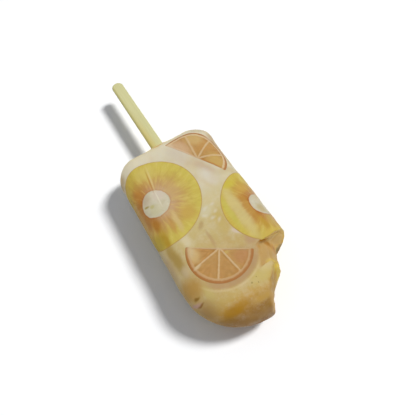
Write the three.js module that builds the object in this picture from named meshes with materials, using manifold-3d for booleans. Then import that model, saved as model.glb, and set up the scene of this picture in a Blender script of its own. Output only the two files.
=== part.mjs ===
// Fruit ice lolly, lying on its back: a flat bar of ice with a full-round edge, slices of golden
// kiwi and half slices of orange frozen into both faces, a bite out of the tip's right corner and
// a wooden stick. Millimetres. +Y points along the stick, +Z up, and the back of the ice is z = 0.

import * as THREE from 'three';
import { LoftGeometry } from 'three/addons/geometries/LoftGeometry.js';
import { mergeVertices } from 'three/addons/utils/BufferGeometryUtils.js';
import Module from 'manifold-3d';

const wasm = await Module();
wasm.setup();

// --- Driving dimensions -------------------------------------------------------------------

const BAR_WIDTH = 55;
const BAR_LENGTH = 106;
const BAR_THICKNESS = 24;
const CORNER_RADIUS = 0.5; // of the flat faces, at the stick end

const STICK_WIDTH = 7;
const STICK_THICKNESS = 3.2;
const STICK_LENGTH = 113;
const STICK_OUT = 60; // length that stands out of the ice
const STICK_ACROSS = 0.6; // the stick sits a little right of the centre line
const STICK_EDGE = 0.5;

const SLICE_THICKNESS = 2;
const CLEARANCE = 0.3; // between a slice or the stick and the ice round it
const BACK_RECESS = 0.2; // slices of the back lie this far inside the face it rests on
const PULP_RECESS = 0.35; // an orange segment's pulp lies this far below its membranes
const PULP_SLOPE = 0.6; // width of the slope between the two
const CORE_RECESS = 0.15; // a kiwi's core lies this far below its flesh
const CORE_SLOPE = 0.9; // width of the slope between the two

// A slice's place on its face: across runs along +X and down from the stick end towards the tip,
// both measured along the surface, over the rounded edge too. Angles are in degrees from +X.
// A kiwi slice is a disc whose radius swells by oval towards the angle long, round a core.
// A half orange slice is placed by the middle of its cut and bulges towards the angle bulge. The
// middle of the whole disc that it was cut from lies past millimetres inside the cut.
const KIWIS = [
  {
    name: 'kiwi_slice_left', face: 'front', across: -17.2, down: 35.7,
    radius: 23.1, oval: 0.7, long: 65, core: 7.1,
  },
  {
    name: 'kiwi_slice_right', face: 'front', across: 28.2, down: 62.1,
    radius: 22, oval: 0.2, long: 20, core: 6.4,
  },
  {
    name: 'kiwi_slice_back', face: 'back', across: 5, down: 38,
    radius: 18.5, oval: 0.5, long: 100, core: 6,
  },
];
const ORANGES = [
  {
    name: 'orange_slice_tip', face: 'front', across: -3.6, down: 71.9,
    radius: 15, past: 1.3, bulge: -124,
  },
  {
    name: 'orange_slice_corner', face: 'front', across: 10.1, down: 23.7,
    radius: 18.1, past: -1, bulge: 30,
  },
  {
    name: 'orange_slice_back_tip', face: 'back', across: -4, down: 75,
    radius: 15.5, past: 0.8, bulge: -75,
  },
  {
    name: 'orange_slice_back_corner', face: 'back', across: -9, down: 15.5,
    radius: 15, past: 0.5, bulge: 127,
  },
];

const SEGMENTS_IN_HALF = 4;
const MEMBRANE = 1.1; // width of the wall between two segments
const PEEL = 0.9; // width of the coloured rind
const PITH = 0.9; // width of the white layer inside the rind
const HUB = 2.4; // reach of the white middle where the segments meet

// Tooth marks of the bite. Each is an oval seen from above, boxier with more squareness, and is
// set by its middle, its half length across the bar and its half width along it, at the front and
// at the back face. From back to front, as height goes from 0 to 1, the half length changes as
// height to the power flare, the rest as 1 - (1 - height) to the power ease. Skew leans the short
// sides of the oval, slant the long ones.
const BITES = [
  {
    across: 34, skew: 0.52, slant: 0.11, squareness: 16, flare: 4, ease: 3,
    front: { down: 80.9, length: 26.2, width: 4.6 },
    back: { down: 84.2, length: 15.4, width: 4.2 },
  },
  {
    across: 33, skew: 0, slant: 0, squareness: 2, flare: 1, ease: 1,
    front: { down: 114, length: 31.9, width: 31.9 },
    back: { down: 114.6, length: 29.9, width: 29.9 },
  },
];

// --- Sizes worked out from them -----------------------------------------------------------

const EDGE_RADIUS = BAR_THICKNESS / 2; // the edge is a full round
const FACE_HALF_WIDTH = BAR_WIDTH / 2 - EDGE_RADIUS;
const STICK_END_Y = (BAR_LENGTH - STICK_OUT) / 2; // stick end of the ice, so y = 0 is mid-length
const FACE_END_Y = STICK_END_Y - EDGE_RADIUS; // straight end of the flat faces
const TIP_CENTRE_Y = STICK_END_Y - BAR_LENGTH + BAR_WIDTH / 2; // centre of the half-round tip
const DEGREE = Math.PI / 180;
const STICK_MIDDLE_Y = STICK_END_Y + STICK_OUT - STICK_LENGTH / 2;
const REACH = 1; // how far a cutting solid stands out of the surface it cuts

// Facets.
const EDGE_RINGS = 16; // from the back face round the edge to the front face
const TIP_STEPS = 30; // round the half-round tip
const CORNER_STEPS = 8; // round a corner at the stick end
const KIWI_STEPS = 40; // round a kiwi slice
const SEGMENT_STEPS = 5; // across an orange segment
const MARK_STEPS = 48; // round a tooth mark
const MARK_LEVELS = 12; // up a tooth mark

// --- Solids -------------------------------------------------------------------------------

// A closed geometry with shared vertices, no collapsed triangles and its faces turned outwards.
function closed(geometry) {
  const bare = new THREE.BufferGeometry().setAttribute('position', geometry.getAttribute('position'));
  bare.setIndex(geometry.index);
  const merged = mergeVertices(bare, 1e-4);
  const index = merged.index.array;
  const position = merged.getAttribute('position');
  const corner = [new THREE.Vector3(), new THREE.Vector3(), new THREE.Vector3()];
  const kept = [];
  let volume = 0;
  for (let i = 0; i < index.length; i += 3) {
    const [a, b, c] = [index[i], index[i + 1], index[i + 2]];
    if (a === b || b === c || c === a) continue;
    kept.push(a, b, c);
    [a, b, c].forEach((vertex, k) => corner[k].fromBufferAttribute(position, vertex));
    volume += corner[0].dot(corner[1].clone().cross(corner[2]));
  }
  merged.setIndex(volume < 0 ? kept.reverse() : kept);
  return merged;
}

function solid(geometry) {
  const { index, attributes } = closed(geometry);
  return new wasm.Manifold(
    new wasm.Mesh({
      numProp: 3,
      vertProperties: attributes.position.array,
      triVerts: new Uint32Array(index.array),
    }),
  );
}

function geometryOf(manifold) {
  const { vertProperties, triVerts } = manifold.getMesh();
  const geometry = new THREE.BufferGeometry();
  geometry.setAttribute('position', new THREE.BufferAttribute(vertProperties, 3));
  geometry.setIndex(new THREE.BufferAttribute(triVerts, 1));
  const shaded = geometry.toNonIndexed();
  shaded.computeVertexNormals();
  return shaded;
}

// --- The bar's surface --------------------------------------------------------------------

// The point of the flat face's outline or inside that is nearest to (x, y), and the way to it.
function nearestOnFace(x, y) {
  let near;
  if (y < TIP_CENTRE_Y) {
    near = new THREE.Vector2(x, y - TIP_CENTRE_Y).clampLength(0, FACE_HALF_WIDTH);
    near.y += TIP_CENTRE_Y;
  } else {
    const inset = new THREE.Vector2(
      THREE.MathUtils.clamp(x, CORNER_RADIUS - FACE_HALF_WIDTH, FACE_HALF_WIDTH - CORNER_RADIUS),
      Math.min(y, FACE_END_Y - CORNER_RADIUS),
    );
    near = new THREE.Vector2(x, y).sub(inset).clampLength(0, CORNER_RADIUS).add(inset);
  }
  const away = new THREE.Vector2(x, y).sub(near);
  const distance = away.length();
  return { near, away: distance > 1e-9 ? away.divideScalar(distance) : away.set(0, 0), distance };
}

// A flat sheet laid on a face and wrapped round the edge: the sheet's (x, y), beyond the flat
// face, becomes an arc length round the edge. Height is measured out of the surface.
function wrapped(x, y, height, face) {
  const { near, away, distance } = nearestOnFace(x, y);
  const angle = distance / EDGE_RADIUS;
  const radius = EDGE_RADIUS + height;
  const out = radius * Math.sin(angle);
  const rise = radius * Math.cos(angle);
  const z = EDGE_RADIUS + (face === 'front' ? rise : -rise);
  return new THREE.Vector3(near.x + away.x * out, near.y + away.y * out, z);
}

// Outline of the flat face as points with the direction square to the edge, anticlockwise.
function faceOutline() {
  const outline = [];
  const arc = (cx, cy, radius, from, to, steps) => {
    for (let i = 0; i <= steps; i++) {
      const angle = THREE.MathUtils.lerp(from, to, i / steps) * DEGREE;
      const away = new THREE.Vector2(Math.cos(angle), Math.sin(angle));
      const point = new THREE.Vector2(cx, cy).addScaledVector(away, radius);
      outline.push({ point, away });
    }
  };
  const inset = FACE_HALF_WIDTH - CORNER_RADIUS;
  arc(0, TIP_CENTRE_Y, FACE_HALF_WIDTH, 180, 360, TIP_STEPS);
  arc(inset, FACE_END_Y - CORNER_RADIUS, CORNER_RADIUS, 0, 90, CORNER_STEPS);
  arc(-inset, FACE_END_Y - CORNER_RADIUS, CORNER_RADIUS, 90, 180, CORNER_STEPS);
  return outline;
}

// The uncut bar: the face outline pushed out and up round the full-round edge, ring by ring.
function barOfIce() {
  const outline = faceOutline();
  const sections = [];
  for (let i = 0; i <= EDGE_RINGS; i++) {
    const angle = (i / EDGE_RINGS) * Math.PI;
    const out = EDGE_RADIUS * Math.sin(angle);
    const z = EDGE_RADIUS * (1 - Math.cos(angle));
    const section = outline.map(({ point, away }) => {
      const moved = point.clone().addScaledVector(away, out);
      return new THREE.Vector3(moved.x, moved.y, z);
    });
    sections.push(section);
  }
  return solid(new LoftGeometry(sections, { capStart: true, capEnd: true }));
}

// --- Fruit slices -------------------------------------------------------------------------

// A kiwi slice as rings carried from the middle of its outer face over the rim to the middle of
// its inner face, close enough together to follow the bar's edge. The radius swells by oval
// towards the angle long.
function kiwiSlice(kiwi, grow = 0, rise = 0, sink = 0) {
  const { face, across, down, radius, oval, long, core } = kiwi;
  const top = rise - (face === 'back' ? BACK_RECESS : 0);
  const bottom = top - rise - SLICE_THICKNESS - sink;
  const coreShare = core / radius;
  const steps = [coreShare + CORE_SLOPE / radius, 3 / 6, 4 / 6, 5 / 6, 1];
  const profile = [
    ...[0, coreShare / 2, coreShare].map((share) => [share, top - CORE_RECESS]),
    ...steps.map((share) => [share, top]),
    ...steps.toReversed().map((share) => [share, bottom]),
    ...[coreShare / 2, 0].map((share) => [share, bottom]),
  ];
  const sections = profile.map(([share, height]) => {
    const ring = [];
    for (let i = 0; i < KIWI_STEPS; i++) {
      const angle = (i / KIWI_STEPS) * 2 * Math.PI;
      const rim = radius + grow + oval * Math.cos(2 * (angle - long * DEGREE));
      ring.push(wrapped(
        across + share * rim * Math.cos(angle),
        STICK_END_Y - down + share * rim * Math.sin(angle),
        height, face,
      ));
    }
    return ring;
  });
  return solid(new LoftGeometry(sections));
}

// Angles of a half slice's columns, from one end of the cut to the other, each marked as pulp
// or membrane: a membrane stands on both sides of every segment.
function orangeColumns(pulpRadius) {
  const wall = MEMBRANE / pulpRadius; // as an angle, half a membrane's width at half the radius
  const step = Math.PI / SEGMENTS_IN_HALF;
  const columns = [{ angle: -Math.PI / 2, pulp: false }];
  for (let segment = 0; segment < SEGMENTS_IN_HALF; segment++) {
    const from = -Math.PI / 2 + segment * step + wall;
    for (let i = 0; i <= SEGMENT_STEPS; i++) {
      const angle = from + (step - 2 * wall) * (i / SEGMENT_STEPS);
      columns.push({ angle, pulp: i > 0 && i < SEGMENT_STEPS });
    }
  }
  columns.push({ angle: Math.PI / 2, pulp: false });
  return columns;
}

// A section shrunk to its middle, which closes the end of a loft as a fan.
function shrunk(section) {
  const middle = new THREE.Vector3();
  for (const point of section) middle.addScaledVector(point, 1 / section.length);
  return section.map(() => middle);
}

// A half orange slice: a profile from the middle of the cut, over pulp, pith and peel, round the
// rim and back underneath, turned through half a circle. The pulp lies lower than the membranes.
function orangeSlice(orange, grow = 0, rise = 0, sink = 0) {
  const { face, radius, past, bulge } = orange;
  const turn = bulge * DEGREE;
  const across = orange.across - grow * Math.cos(turn);
  const y = STICK_END_Y - orange.down - grow * Math.sin(turn);
  const top = rise - (face === 'back' ? BACK_RECESS : 0);
  const bottom = top - rise - SLICE_THICKNESS - sink;
  const sections = orangeColumns(radius - PEEL - PITH).map(({ angle, pulp }) => {
    const rim = past * Math.cos(angle) + Math.sqrt(radius ** 2 - (past * Math.sin(angle)) ** 2);
    const edge = rim + grow * (1 + Math.cos(angle));
    const pulpEnd = rim - PEEL - PITH;
    const floor = pulp ? top - PULP_RECESS : top;
    const profile = [
      [0, top],
      ...[HUB, (HUB + pulpEnd) / 2, pulpEnd - PULP_SLOPE].map((reach) => [reach, floor]),
      ...[pulpEnd, edge].map((reach) => [reach, top]),
      ...[edge, edge / 2, 0].map((reach) => [reach, bottom]),
    ];
    return profile.map(([reach, height]) => wrapped(
      across + reach * Math.cos(angle + turn),
      y + reach * Math.sin(angle + turn),
      height, face,
    ));
  });
  return solid(new LoftGeometry([shrunk(sections[0]), ...sections, shrunk(sections.at(-1))]));
}

// --- Bite and stick -----------------------------------------------------------------------

// One tooth mark as a stack of boxy ovals from below the back face to above the front one.
function toothMark({ across, skew, slant, squareness, flare, ease, front, back }) {
  const sections = [];
  for (let i = 0; i <= MARK_LEVELS; i++) {
    const z = THREE.MathUtils.lerp(-REACH, BAR_THICKNESS + REACH, i / MARK_LEVELS);
    const height = THREE.MathUtils.clamp(z / BAR_THICKNESS, 0, 1);
    const eased = 1 - (1 - height) ** ease;
    const length = THREE.MathUtils.lerp(back.length, front.length, height ** flare);
    const width = THREE.MathUtils.lerp(back.width, front.width, eased);
    const y = STICK_END_Y - THREE.MathUtils.lerp(back.down, front.down, eased);
    const ring = [];
    for (let k = 0; k < MARK_STEPS; k++) {
      const cos = Math.cos((k / MARK_STEPS) * 2 * Math.PI);
      const sin = Math.sin((k / MARK_STEPS) * 2 * Math.PI);
      const reach = (Math.abs(cos) ** squareness + Math.abs(sin) ** squareness) ** (-1 / squareness);
      const alongLength = length * reach * cos;
      const alongWidth = width * reach * sin;
      ring.push(new THREE.Vector3(
        across + alongLength + skew * alongWidth,
        y + alongWidth + slant * alongLength,
        z,
      ));
    }
    sections.push(ring);
  }
  return solid(new LoftGeometry(sections, { capStart: true, capEnd: true }));
}

// A flat stick with half-round ends and eased edges, centred on its own origin along Y.
function stickGeometry(grow = 0) {
  const half = STICK_WIDTH / 2 - STICK_EDGE + grow;
  const straight = STICK_LENGTH / 2 - STICK_WIDTH / 2;
  const shape = new THREE.Shape();
  shape.moveTo(half, -straight);
  shape.lineTo(half, straight);
  shape.absarc(0, straight, half, 0, Math.PI, false);
  shape.lineTo(-half, -straight);
  shape.absarc(0, -straight, half, Math.PI, 2 * Math.PI, false);
  const geometry = new THREE.ExtrudeGeometry(shape, {
    depth: STICK_THICKNESS - 2 * STICK_EDGE + 2 * grow,
    curveSegments: 10,
    bevelEnabled: true,
    bevelThickness: STICK_EDGE,
    bevelSize: STICK_EDGE,
    bevelSegments: 2,
  });
  geometry.translate(0, 0, -(STICK_THICKNESS / 2 - STICK_EDGE + grow));
  return geometry;
}

// --- The model ----------------------------------------------------------------------------

const ICE = { color: '#dcc08a', roughness: 0.35 };
const KIWI = { color: '#cdb24a', roughness: 0.4 };
const ORANGE = { color: '#c98f50', roughness: 0.4 };
const WOOD = { color: '#cdcd8f', roughness: 0.65 };

const lolly = new THREE.Group();

function add(name, geometry, finish) {
  const material = new THREE.MeshStandardMaterial({ ...finish, metalness: 0 });
  const mesh = new THREE.Mesh(geometry, material);
  mesh.name = name;
  lolly.add(mesh);
  return mesh;
}

const bite = BITES.map(toothMark).reduce((whole, mark) => whole.add(mark));
const stickPlace = new THREE.Vector3(STICK_ACROSS, STICK_MIDDLE_Y, EDGE_RADIUS);
const socket = solid(stickGeometry(CLEARANCE).translate(...stickPlace.toArray()));

let ice = barOfIce().subtract(bite).subtract(socket);
for (const kiwi of KIWIS) ice = ice.subtract(kiwiSlice(kiwi, CLEARANCE, REACH, CLEARANCE));
for (const orange of ORANGES) ice = ice.subtract(orangeSlice(orange, CLEARANCE, REACH, CLEARANCE));
add('ice_bar', geometryOf(ice), ICE);

for (const kiwi of KIWIS) add(kiwi.name, geometryOf(kiwiSlice(kiwi).subtract(bite)), KIWI);
for (const orange of ORANGES) add(orange.name, geometryOf(orangeSlice(orange).subtract(bite)), ORANGE);

add('stick', stickGeometry(), WOOD).position.copy(stickPlace);

export default lolly;
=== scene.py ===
"""Fruit ice lolly lying on its back: cloudy fruit ice with slices of golden kiwi and orange frozen
into its faces, a bite out of the tip's right corner and a wooden stick.

Metres, +Y along the stick, +Z up. The back of the ice lies on z = 0.
"""

import bmesh
import bpy
import numpy as np
from bpy.props import FloatProperty, FloatVectorProperty, PointerProperty
from bpy.types import Operator, Panel, PropertyGroup
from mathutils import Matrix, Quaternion, Vector


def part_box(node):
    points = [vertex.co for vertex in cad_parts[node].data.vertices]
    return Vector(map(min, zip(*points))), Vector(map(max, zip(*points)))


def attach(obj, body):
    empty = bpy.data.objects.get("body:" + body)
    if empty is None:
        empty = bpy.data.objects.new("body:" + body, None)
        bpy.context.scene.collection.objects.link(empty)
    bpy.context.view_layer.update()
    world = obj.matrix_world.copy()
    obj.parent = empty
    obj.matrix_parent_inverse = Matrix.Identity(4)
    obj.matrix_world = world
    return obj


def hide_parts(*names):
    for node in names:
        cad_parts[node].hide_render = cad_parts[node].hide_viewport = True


bl_info = {
    "name": "Fruit ice lolly",
    "version": (1, 0, 0),
    "blender": (4, 5, 0),
    "location": "3D View > Sidebar > Lolly",
    "description": "Builds a bitten fruit ice lolly round its frame, piece by piece",
    "category": "Object",
}

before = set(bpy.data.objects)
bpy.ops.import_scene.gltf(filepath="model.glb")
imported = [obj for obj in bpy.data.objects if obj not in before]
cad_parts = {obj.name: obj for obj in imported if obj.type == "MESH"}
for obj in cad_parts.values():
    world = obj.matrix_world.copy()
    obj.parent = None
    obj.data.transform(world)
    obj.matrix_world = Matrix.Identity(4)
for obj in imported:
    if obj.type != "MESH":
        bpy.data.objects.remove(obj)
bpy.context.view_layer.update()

# --- Sizes ----------------------------------------------------------------------------------

MM = 0.001
TINY = 1e-9  # keeps a division by a length from failing

ICE_LOW, ICE_HIGH = (np.array(corner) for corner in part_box("ice_bar"))
STICK_LOW, STICK_HIGH = (np.array(corner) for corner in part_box("stick"))
STICK_HIGH[1] += 0.8 * MM  # its free end is worn less round than the frame's

# The bar: a flat face pushed out by the edge radius all round, with a half-round tip.
EDGE = (ICE_HIGH[2] - ICE_LOW[2]) / 2  # radius of the full-round edge, half the thickness
TIP_RADIUS = (ICE_HIGH[0] - ICE_LOW[0]) / 2
FACE_HALF = TIP_RADIUS - EDGE  # half the width of the flat faces
STICK_END = ICE_HIGH[1]
FACE_END = STICK_END - EDGE
TIP_CENTRE = ICE_LOW[1] + TIP_RADIUS
CORNER = 0.5 * MM  # radius of the flat faces' corners

SLICE_THICKNESS = 2 * MM
PROUD = 0.06 * MM  # a slice at the front stands out of the ice by this much
SUNK = 0.2 * MM  # and one at the back, where the ice has melted flat, is this far in it

# Tooth marks of the bite, in millimetres: boxes with round corners or, with no skew and as long as
# wide, circles, seen from above, set by their middle, half length across the bar and half width
# along it at the front and at the back face. Towards the front the half length changes as height
# to the power flare, the rest as 1 - (1 - height) to the power ease.
TOOTH_MARKS = [
    dict(
        across=34, skew=0.52, slant=0.165, corner=1.2, flare=4, ease=3,
        front=dict(down=80.25, length=26.2, width=4.6),
        back=dict(down=83.55, length=15.6, width=4.2),
    ),
    dict(
        across=33, skew=0, slant=0, corner=None, flare=1, ease=1,
        front=dict(down=114, length=31.9, width=31.9),
        back=dict(down=114.9, length=30.1, width=30.1),
    ),
]
RIDGE_ROUNDING = 3.0 * MM  # between two tooth marks
RIM_ROUNDING = (0.7 * MM, 2.4 * MM)  # between the bite and the skin, and the same at the tip
RIM_CHANGE = dict(start=-68 * MM, length=8 * MM)  # where the one turns into the other, along Y
RIDGE_LUMP = dict(centre=(15.5, 90, 8), size=(8, 4, 8), swell=1.9)  # left between the marks
BITE_LUMPS = ((0.18 * MM, 5 * MM, 3), (0.07 * MM, 2.2 * MM, 4))  # height, size and seed


# --- Fruit, and the marks on it -------------------------------------------------------------


def spot(centre, size, code, strength, turn=0, soft=0.75):
    """A soft-edged ellipse of colour. On a sheet its centre is across and down from the stick end
    and its size half the width and half the length, turned by degrees. Both can have a third
    number, the height. Its edge fades over the outer part soft of its size."""
    return dict(centre=centre, size=size, code=code, strength=strength, turn=turn, soft=soft)


# A slice's place on its face, along the surface: across runs along +X and down from the stick end
# to the tip. A kiwi slice is a disc whose radius swells by oval towards the angle long, with a pale
# core that sits off its middle by core_off. A half orange slice is placed by a point of its cut,
# bulges towards the angle bulge, and is cut from a disc whose middle lies past from there, forward
# and to the left. Its membranes run from that point at the angles spokes, measured from the bulge,
# and half their width is wall. Pith is the colour of the pith. Spots are the marks on each part.
KIWIS = [
    dict(
        name="kiwi_left", node="kiwi_slice_left", face="front", across=-17.2, down=35.7,
        radius=23.1, oval=0.7, long=65, core=7.2, core_off=(-0.2, -0.4), halo_turn=170,
        flesh_spots=(
            spot((-23.5, 26), (4, 5.5), "#b27c38", 0.8, 15),  # the halo, deepest on the left
            spot((-26, 38), (3.5, 12), "#a5763f", 0.85),
            spot((-22.5, 46), (3.2, 6), "#a5702b", 0.9),
            spot((-22.5, 55), (3.2, 8), "#a98429", 0.9),  # and running down to the rim
            spot((-30, 37), (4, 17), "#bc9a61", 0.7),  # paler where it bends over the edge
            spot((-27.5, 17), (7, 6), "#b99a42", 0.7),
            spot((-27, 54), (7, 7), "#ac9338", 0.85),  # olive
            spot((-15.8, 51), (1.4, 8), "#b08443", 0.6),  # painted highlight along the shoulder, where the flat face turns into the edge, and a darker line just outside it
            spot((-12.8, 50), (2.0, 9), "#c5ae78", 0.7, -2),
            spot((-14, 18), (8, 6), "#c3b162", 0.7),  # clear yellow
            spot((-7, 34), (4, 8), "#bb9c66", 0.65),  # frost beside the core
            spot((-6, 49), (5.5, 7), "#b9974b", 0.75),
        ),
        core_spots=(
            spot((-13.5, 32.5), (5.5, 5), "#c6b7a5", 0.7),
            spot((-19, 39), (5, 5), "#bbb48e", 0.6),
            spot((-20.5, 31.5), (3.5, 3.5), "#b3a288", 0.75),
            spot((-22, 34.9), (2.0, 0.9), "#988640", 0.9, -20),  # two seed marks
            spot((-19.5, 36.6), (2.0, 1.4), "#b1a768", 0.7),
        ),
        shoulder_highlight_spots=(  # painted highlight along the shoulder, where the flat face turns into the edge, with a darker line beside it, from the rim into the core
            spot((-13.3, 23), (0.65, 10.5), "#c9b57c", 0.75, -9),
            spot((-14.3, 23.5), (0.55, 10), "#ac7d37", 0.65, -8),
            spot((-14.9, 34.5), (0.5, 6.5), "#cfc8b0", 0.8, -4),
        ),
    ),
    dict(
        name="kiwi_right", node="kiwi_slice_right", face="front", across=28.2, down=62.1,
        radius=22, oval=0.2, long=20, core=6.3, core_off=(-2.3, 0.3), halo_turn=180,
        flesh_spots=(
            spot((13.4, 61), (4.4, 24), "#c6b67b", 0.8),  # painted highlight along the shoulder, where the flat face turns into the edge
            spot((18.3, 62), (2.6, 10), "#b38b45", 0.8),  # the halo round the core
            spot((21.5, 51), (5, 4), "#be9b4a", 0.7, 20),
            spot((19.8, 72), (2.4, 6), "#b08c36", 0.8, 8),
            spot((24.5, 71), (3.5, 5), "#b59a52", 0.8),
            spot((9.5, 60), (2.2, 16), "#bcb053", 0.8),  # clear yellow along the rim
            spot((16, 46), (6, 3), "#bfae42", 0.8),
            spot((20, 77.5), (8, 2.5), "#c0a54c", 0.8),
        ),
        core_spots=(
            spot((24.5, 64), (4, 4), "#b09e6e", 0.8),
            spot((27, 58), (5, 4), "#beb091", 0.7),
        ),
        shoulder_highlight_spots=(),
    ),
    dict(
        name="kiwi_back", node="kiwi_slice_back", face="back", across=5, down=38,
        radius=18.5, oval=0.5, long=100, core=6, core_off=(0.3, 0.2), halo_turn=20,
        flesh_spots=(), core_spots=(), shoulder_highlight_spots=(),
    ),
]
ORANGES = [
    dict(
        name="orange_tip", node="orange_slice_tip", face="front", across=-3.6, down=71.9,
        radius=15, past=(1.3, 0), bulge=-124, spokes=(-45.5, 1.5, 43), wall=0.3, pith="#ba986c",
        pulp_spots=(
            spot((-15, 68.5), (4.5, 6.5), "#bfa26c", 0.9),  # milky first segment
            spot((-8, 79.5), (7, 6), "#ad834b", 0.7),
            spot((3, 80), (6, 5), "#b08152", 0.85),
            spot((-2.0, 75.3), (1.6, 1.2), "#b9a05c", 0.7),
        ),
        milk_spots=(
            spot((-15, 66.5), (2.6, 5), "#c0ac84", 0.6, -20),  # milk over its end and its cut
            spot((-16.2, 74.6), (2.8, 1.0), "#c4b089", 0.7, 10),
            spot((-4, 71.8), (15, 0.9), "#bda37e", 0.8, -34),
        ),
    ),
    dict(
        name="orange_corner", node="orange_slice_corner", face="front", across=11.95, down=25.0,
        radius=18, past=(-2.15, 2.05), bulge=30, spokes=(-46, 4, 54), wall=0.42, pith="#cbb48e",
        pulp_spots=(
            spot((7, 14), (7, 11), "#c09f79", 1.0, 20),  # milky first segment
            spot((16.5, 13), (6, 8), "#be9e66", 1.0, 30),
            spot((19.5, 20.5), (8, 5), "#b58a50", 0.95, -15),
            spot((19, 31), (7, 8), "#b99858", 1.0),
        ),
        milk_spots=(
            spot((3.8, 10), (3, 3.5), "#c8b08f", 0.7, 20),
            spot((25, 14), (3.5, 5), "#bba488", 0.8),
            spot((16.0, 31.6), (1.3, 10), "#ab743c", 0.85, 30),  # the cut's shaded edge
            spot((7.9, 17.3), (1.0, 11), "#c4a98c", 0.75, 30),  # and its pale one
        ),
    ),
    dict(
        name="orange_back_tip", node="orange_slice_back_tip", face="back", across=-4, down=75,
        radius=15.5, past=(0.8, 0), bulge=-75, spokes=(-47, -3, 42), wall=0.35, pith="#bd9d72",
        pulp_spots=(), milk_spots=(),
    ),
    dict(
        name="orange_back_corner", node="orange_slice_back_corner", face="back", across=-9,
        down=15.5, radius=15, past=(0.5, 0), bulge=127, spokes=(-42, 4, 47), wall=0.35,
        pith="#bd9d72", pulp_spots=(), milk_spots=(),
    ),
]


# --- Shapes worked out with numpy -----------------------------------------------------------


def smoothstep(value):
    """0 below 0, 1 above 1, and 3 v^2 - 2 v^3 between."""
    value = np.clip(value, 0, 1)
    return value * value * (3 - 2 * value)


def smooth_min(first, second, width):
    """The smaller value, rounded off where the two differ by less than width."""
    overlap = np.clip(1 - np.abs(first - second) / width, 0, None)
    return np.minimum(first, second) - width * overlap**2 / 4


def smooth_max(first, second, width):
    """The larger value, rounded off where the two differ by less than width."""
    return -smooth_min(-first, -second, width)


def waves(points, size, seed):
    """Uneven relief, mostly between -1 and 1: a sum of sine waves in directions, lengths near size
    and phases drawn from the seed."""
    count = 9
    draw = np.random.default_rng(seed)
    direction = draw.normal(size=(3, count))
    direction *= 2 * np.pi / size / np.linalg.norm(direction, axis=0)
    direction *= draw.uniform(0.7, 1.5, count)
    phase = draw.uniform(0, 2 * np.pi, count)
    return np.sin(points @ direction + phase).sum(axis=-1) / np.sqrt(count)


def nearest_on_face(x, y):
    """The point of the flat face that is nearest to (x, y), the direction from it to (x, y) and the
    distance. The face is a rectangle with small corners at the stick end and a half disc at the
    tip."""
    reach = np.hypot(x, y - TIP_CENTRE)
    shrink = np.minimum(1, FACE_HALF / np.maximum(reach, TINY))
    inset = FACE_HALF - CORNER
    inset_x = np.clip(x, -inset, inset)
    inset_y = np.minimum(y, FACE_END - CORNER)
    beyond = np.hypot(x - inset_x, y - inset_y)
    keep = np.minimum(1, CORNER / np.maximum(beyond, TINY))
    in_tip = y < TIP_CENTRE
    near_x = np.where(in_tip, x * shrink, inset_x + (x - inset_x) * keep)
    tip_y = TIP_CENTRE + (y - TIP_CENTRE) * shrink
    near_y = np.where(in_tip, tip_y, inset_y + (y - inset_y) * keep)
    distance = np.hypot(x - near_x, y - near_y)
    away_x = np.where(distance > TINY, (x - near_x) / np.maximum(distance, TINY), 0)
    away_y = np.where(distance > TINY, (y - near_y) / np.maximum(distance, TINY), 0)
    return near_x, near_y, away_x, away_y, distance


def wrapped(across, y, height, face):
    """A flat sheet laid on a face and wrapped round the edge: beyond the flat face, the distance
    from it becomes an arc length round the edge. Height is measured out of the surface."""
    near_x, near_y, away_x, away_y, distance = nearest_on_face(across, y)
    angle = distance / EDGE
    out = (EDGE + height) * np.sin(angle)
    rise = (EDGE + height) * np.cos(angle) * (1 if face == "front" else -1)
    return np.stack([near_x + away_x * out, near_y + away_y * out, EDGE + rise], axis=-1)


def unwrapped(points, face):
    """Where points lie on the sheet of a face, and their height out of the surface: wrapped,
    turned back. The other flat face isn't on the sheet and gets a place far from it."""
    near_x, near_y, away_x, away_y, distance = nearest_on_face(points[..., 0], points[..., 1])
    rise = (points[..., 2] - EDGE) * (1 if face == "front" else -1)
    angle = np.arctan2(distance, rise)
    behind = (distance <= TINY) & (rise < 0)
    across = near_x + away_x * EDGE * angle + behind
    y = near_y + away_y * EDGE * angle
    return across, y, np.hypot(distance, rise) - EDGE


def first_crossing(field, reach, steps=64, halvings=14):
    """The distance along each ray at which field(distance) first turns positive, or reach: stepped
    outwards until the sign changes, then halved. Field and reach are arrays with a value a ray."""
    low = np.zeros_like(reach)
    high = reach.copy()
    found = np.zeros(reach.shape, bool)
    for step in range(1, steps + 1):
        distance = reach * step / steps
        positive = field(distance) > 0
        high = np.where(positive & ~found, distance, high)
        found |= positive
        low = np.where(found, low, distance)
    for _ in range(halvings):
        middle = (low + high) / 2
        positive = field(middle) > 0
        high = np.where(positive, middle, high)
        low = np.where(positive, low, middle)
    return (low + high) / 2


def mark_distance(points, mark):
    """How far points are outside one tooth mark, less than 0 inside it."""
    height = np.clip(points[..., 2] / (2 * EDGE), 0, 1)
    eased = 1 - (1 - height) ** mark["ease"]
    front, back = mark["front"], mark["back"]
    length = (back["length"] + (front["length"] - back["length"]) * height ** mark["flare"]) * MM
    width = (back["width"] + (front["width"] - back["width"]) * eased) * MM
    down = (back["down"] + (front["down"] - back["down"]) * eased) * MM
    x = points[..., 0] - mark["across"] * MM
    y = points[..., 1] - (STICK_END - down)
    if mark["corner"] is None:
        return np.hypot(x, y) - (length + width) / 2
    shear = 1 - mark["skew"] * mark["slant"]
    corner = mark["corner"] * MM
    beyond_length = np.abs(x - mark["skew"] * y) / shear - length + corner
    beyond_width = np.abs(y - mark["slant"] * x) / shear - width + corner
    outside = np.hypot(np.clip(beyond_length, 0, None), np.clip(beyond_width, 0, None))
    return outside + np.minimum(np.maximum(beyond_length, beyond_width), 0) - corner


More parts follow.
